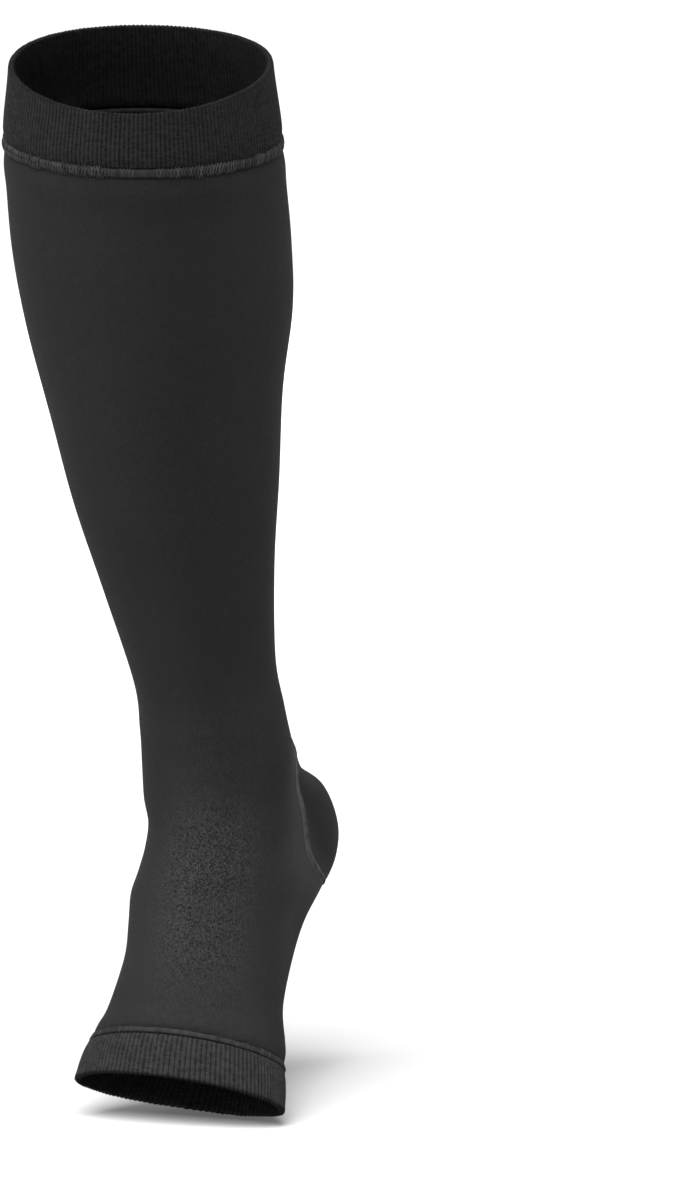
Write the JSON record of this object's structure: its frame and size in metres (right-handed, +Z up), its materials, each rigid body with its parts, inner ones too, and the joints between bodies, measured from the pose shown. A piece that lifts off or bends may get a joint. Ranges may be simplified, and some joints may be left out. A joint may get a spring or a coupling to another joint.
{
  "type": "compression stocking",
  "caption": "Knee-high knitted compression stocking with an open toe, ribbed top and toe bands and a heel pocket, in its worn form with the heel raised.",
  "frame": {"origin": "centre of the top opening, where the wearer's leg holds the stocking up", "axes": "+Z up, -Y towards the front of the shin and the toes, +X towards the inner side of the leg"},
  "size_m": [0.1458, 0.1636, 0.4679],
  "materials": {
    "knit": "fine plain elastic knit, dull sheen",
    "rib": "ribbed elastic knit, matte",
    "stitching": "raised overlock stitching, matte"
  },
  "bodies": {
    "root": {"top_band": "rib", "top_seam": "stitching", "leg": "knit", "heel": "knit", "foot": "knit", "toe_seam": "stitching", "toe_band": "rib"}
  },
  "joints": []
}
